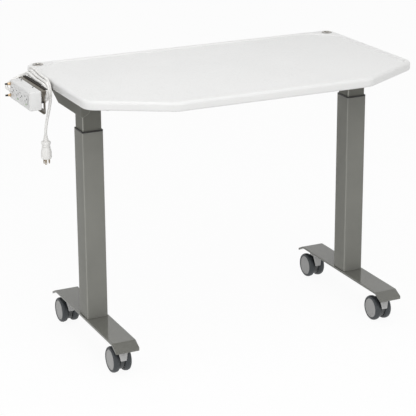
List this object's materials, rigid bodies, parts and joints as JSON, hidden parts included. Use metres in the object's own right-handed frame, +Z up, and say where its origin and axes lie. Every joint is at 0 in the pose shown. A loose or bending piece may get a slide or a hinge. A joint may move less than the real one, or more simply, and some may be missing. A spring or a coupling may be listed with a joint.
{
  "type": "mobile instrument table",
  "caption": "Height-adjustable instrument table: dished white top with a cut-corner front, telescopic legs on casters, side outlet box with wound cord and plug.",
  "frame": {"origin": "on the floor under the middle of the object's box without its cord and plug", "axes": "+X along the top to its right as seen from the front, -Y to the cut-corner front, +Z up"},
  "size_m": [1.1306, 0.604, 0.8079],
  "materials": {
    "white_moulding": "satin moulded",
    "grey_paint": "gloss powder coat",
    "dark_paint": "satin powder coat",
    "black_plastic": "moulded",
    "tyre_rubber": "moulded",
    "grey_plastic": "moulded",
    "white_plastic": "moulded",
    "cord_vinyl": "smooth jacket",
    "brass": "turned",
    "polished_steel": "polished",
    "plated_steel": "zinc plated"
  },
  "bodies": {
    "left_leg": {"foot_left": "grey_paint", "outer_tube_left": "grey_paint", "collar_left": "black_plastic", "lift_cylinder_left": "plated_steel", "caster_stem_left_front": "plated_steel", "caster_stem_left_rear": "plated_steel"},
    "upper": {"work_top": "white_moulding", "cross_rail": "dark_paint", "rod_socket_left": "polished_steel", "arm_left": "dark_paint", "inner_tube_left": "grey_paint", "lift_rod_left": "plated_steel", "rod_socket_right": "polished_steel", "arm_right": "dark_paint", "inner_tube_right": "grey_paint", "lift_rod_right": "plated_steel", "strip_bracket": "dark_paint", "outlet_box": "white_plastic", "receptacle_front": "white_plastic", "receptacle_rear": "white_plastic", "breaker_neck_lower": "brass", "breaker_neck_upper": "brass", "cord_winding": "cord_vinyl", "cord_tail": "cord_vinyl", "plug_body": "white_plastic", "plug_blade_front": "plated_steel", "plug_blade_rear": "plated_steel", "plug_ground_pin": "plated_steel"},
    "right_leg": {"foot_right": "grey_paint", "outer_tube_right": "grey_paint", "collar_right": "black_plastic", "lift_cylinder_right": "plated_steel", "caster_stem_right_front": "plated_steel", "caster_stem_right_rear": "plated_steel"},
    "caster_left_front": {"caster_hood_left_front": "grey_plastic", "caster_axle_left_front": "plated_steel"},
    "wheel_left_front_left": {"tyre_left_front_left": "tyre_rubber", "hub_left_front_left": "grey_plastic"},
    "wheel_left_front_right": {"tyre_left_front_right": "tyre_rubber", "hub_left_front_right": "grey_plastic"},
    "caster_left_rear": {"caster_hood_left_rear": "grey_plastic", "caster_axle_left_rear": "plated_steel"},
    "wheel_left_rear_left": {"tyre_left_rear_left": "tyre_rubber", "hub_left_rear_left": "grey_plastic"},
    "wheel_left_rear_right": {"tyre_left_rear_right": "tyre_rubber", "hub_left_rear_right": "grey_plastic"},
    "caster_right_front": {"caster_hood_right_front": "grey_plastic", "caster_axle_right_front": "plated_steel"},
    "wheel_right_front_left": {"tyre_right_front_left": "tyre_rubber", "hub_right_front_left": "grey_plastic"},
    "wheel_right_front_right": {"tyre_right_front_right": "tyre_rubber", "hub_right_front_right": "grey_plastic"},
    "caster_right_rear": {"caster_hood_right_rear": "grey_plastic", "caster_axle_right_rear": "plated_steel"},
    "wheel_right_rear_left": {"tyre_right_rear_left": "tyre_rubber", "hub_right_rear_left": "grey_plastic"},
    "wheel_right_rear_right": {"tyre_right_rear_right": "tyre_rubber", "hub_right_rear_right": "grey_plastic"},
    "button_lower": {"breaker_button_lower": "black_plastic"},
    "button_upper": {"breaker_button_upper": "black_plastic"}
  },
  "joints": [
    {"name": "height_slide", "type": "slide", "parent": "left_leg", "child": "upper", "axis": [0, 0, 1], "range_m": [-0.036, 0.3]},
    {"name": "right_leg_slide", "type": "slide", "parent": "upper", "child": "right_leg", "axis": [0, 0, -1], "range_m": [-0.036, 0.3]},
    {"name": "swivel_left_front", "type": "hinge", "parent": "left_leg", "child": "caster_left_front", "pos_m": [-0.3662, -0.1815, 0.09], "axis": [0, 0, 1], "continuous": true},
    {"name": "roll_left_front_left", "type": "hinge", "parent": "caster_left_front", "child": "wheel_left_front_left", "pos_m": [-0.3662, -0.1605, 0.0375], "axis": [1, 0, 0], "continuous": true},
    {"name": "roll_left_front_right", "type": "hinge", "parent": "caster_left_front", "child": "wheel_left_front_right", "pos_m": [-0.3662, -0.1605, 0.0375], "axis": [1, 0, 0], "continuous": true},
    {"name": "swivel_left_rear", "type": "hinge", "parent": "left_leg", "child": "caster_left_rear", "pos_m": [-0.3662, 0.2215, 0.09], "axis": [0, 0, 1], "continuous": true},
    {"name": "roll_left_rear_left", "type": "hinge", "parent": "caster_left_rear", "child": "wheel_left_rear_left", "pos_m": [-0.3662, 0.2425, 0.0375], "axis": [1, 0, 0], "continuous": true},
    {"name": "roll_left_rear_right", "type": "hinge", "parent": "caster_left_rear", "child": "wheel_left_rear_right", "pos_m": [-0.3662, 0.2425, 0.0375], "axis": [1, 0, 0], "continuous": true},
    {"name": "swivel_right_front", "type": "hinge", "parent": "right_leg", "child": "caster_right_front", "pos_m": [0.4808, -0.1815, 0.09], "axis": [0, 0, 1], "continuous": true},
    {"name": "roll_right_front_left", "type": "hinge", "parent": "caster_right_front", "child": "wheel_right_front_left", "pos_m": [0.4808, -0.1605, 0.0375], "axis": [1, 0, 0], "continuous": true},
    {"name": "roll_right_front_right", "type": "hinge", "parent": "caster_right_front", "child": "wheel_right_front_right", "pos_m": [0.4808, -0.1605, 0.0375], "axis": [1, 0, 0], "continuous": true},
    {"name": "swivel_right_rear", "type": "hinge", "parent": "right_leg", "child": "caster_right_rear", "pos_m": [0.4808, 0.2215, 0.09], "axis": [0, 0, 1], "continuous": true},
    {"name": "roll_right_rear_left", "type": "hinge", "parent": "caster_right_rear", "child": "wheel_right_rear_left", "pos_m": [0.4808, 0.2425, 0.0375], "axis": [1, 0, 0], "continuous": true},
    {"name": "roll_right_rear_right", "type": "hinge", "parent": "caster_right_rear", "child": "wheel_right_rear_right", "pos_m": [0.4808, 0.2425, 0.0375], "axis": [1, 0, 0], "continuous": true},
    {"name": "reset_lower", "type": "slide", "parent": "upper", "child": "button_lower", "axis": [1, 0, 0], "range_m": [0, 0.003], "stiffness_N_per_m": 400},
    {"name": "reset_upper", "type": "slide", "parent": "upper", "child": "button_upper", "axis": [1, 0, 0], "range_m": [0, 0.003], "stiffness_N_per_m": 400}
  ],
  "couplings": [
    {"joint": "right_leg_slide", "follows": "height_slide", "ratio": 1}
  ]
}
